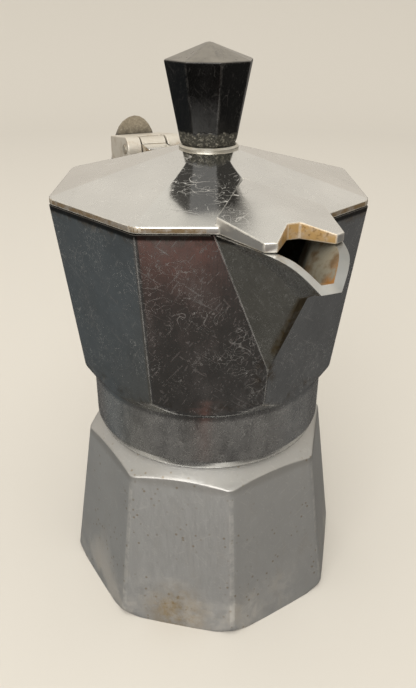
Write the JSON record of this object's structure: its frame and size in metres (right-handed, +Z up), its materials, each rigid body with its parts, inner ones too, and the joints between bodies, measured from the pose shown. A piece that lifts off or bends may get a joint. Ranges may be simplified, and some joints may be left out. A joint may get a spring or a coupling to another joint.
{
  "type": "moka pot",
  "caption": "Octagonal stovetop coffee maker with a screwed-on upper chamber, V-shaped beak, hinged hooded lid, faceted knob and curved rear handle.",
  "frame": {"origin": "centre of the boiler's underside, on the table", "axes": "+Z up, +X towards the spout, -X towards the handle"},
  "size_m": [0.1318, 0.0728, 0.133],
  "materials": {
    "boiler_aluminium": "satin, vertically brushed, stained",
    "chamber_aluminium": "polished, finely scratched",
    "lid_aluminium": "dull polished, scratched",
    "washer_aluminium": "satin",
    "basket_aluminium": "satin",
    "steel": "satin",
    "brass": "turned",
    "fibre": "matte",
    "gasket_rubber": "matte",
    "bakelite": "glossy moulded phenolic, worn at the foot"
  },
  "bodies": {
    "boiler_body": {"boiler": "boiler_aluminium", "valve_body": "brass", "valve_washer": "fibre", "valve_seat": "steel", "funnel": "basket_aluminium", "funnel_screen": "basket_aluminium"},
    "valve_poppet": {"valve_stem": "steel", "valve_spring": "steel"},
    "seal": {"gasket": "gasket_rubber", "filter_plate": "basket_aluminium"},
    "chamber": {"upper_chamber": "chamber_aluminium", "coffee_column": "basket_aluminium", "hinge_pin": "steel", "handle": "bakelite", "handle_pin": "steel"},
    "lid_body": {"lid": "lid_aluminium", "knob": "bakelite", "knob_insert": "brass", "knob_screw": "steel", "knob_washer": "washer_aluminium"}
  },
  "joints": [
    {"name": "valve_lift", "type": "slide", "parent": "boiler_body", "child": "valve_poppet", "axis": [-0.8121, 0.5686, 0.1312], "range_m": [0, 0.001], "stiffness_N_per_m": 400, "springref_m": -0.002},
    {"name": "lift", "type": "slide", "parent": "boiler_body", "child": "seal", "axis": [0, 0, 1], "range_m": [0, 0.0061]},
    {"name": "unscrew", "type": "hinge", "parent": "seal", "child": "chamber", "pos_m": [0, 0, 0], "axis": [0, 0, 1], "range_deg": [0, 720]},
    {"name": "lid_hinge", "type": "hinge", "parent": "chamber", "child": "lid_body", "pos_m": [-0.041, 0, 0.104], "axis": [0, -1, 0], "range_deg": [0, 105]}
  ],
  "couplings": [
    {"joint": "lift", "follows": "unscrew", "m_per_rad": 0.00047746}
  ]
}
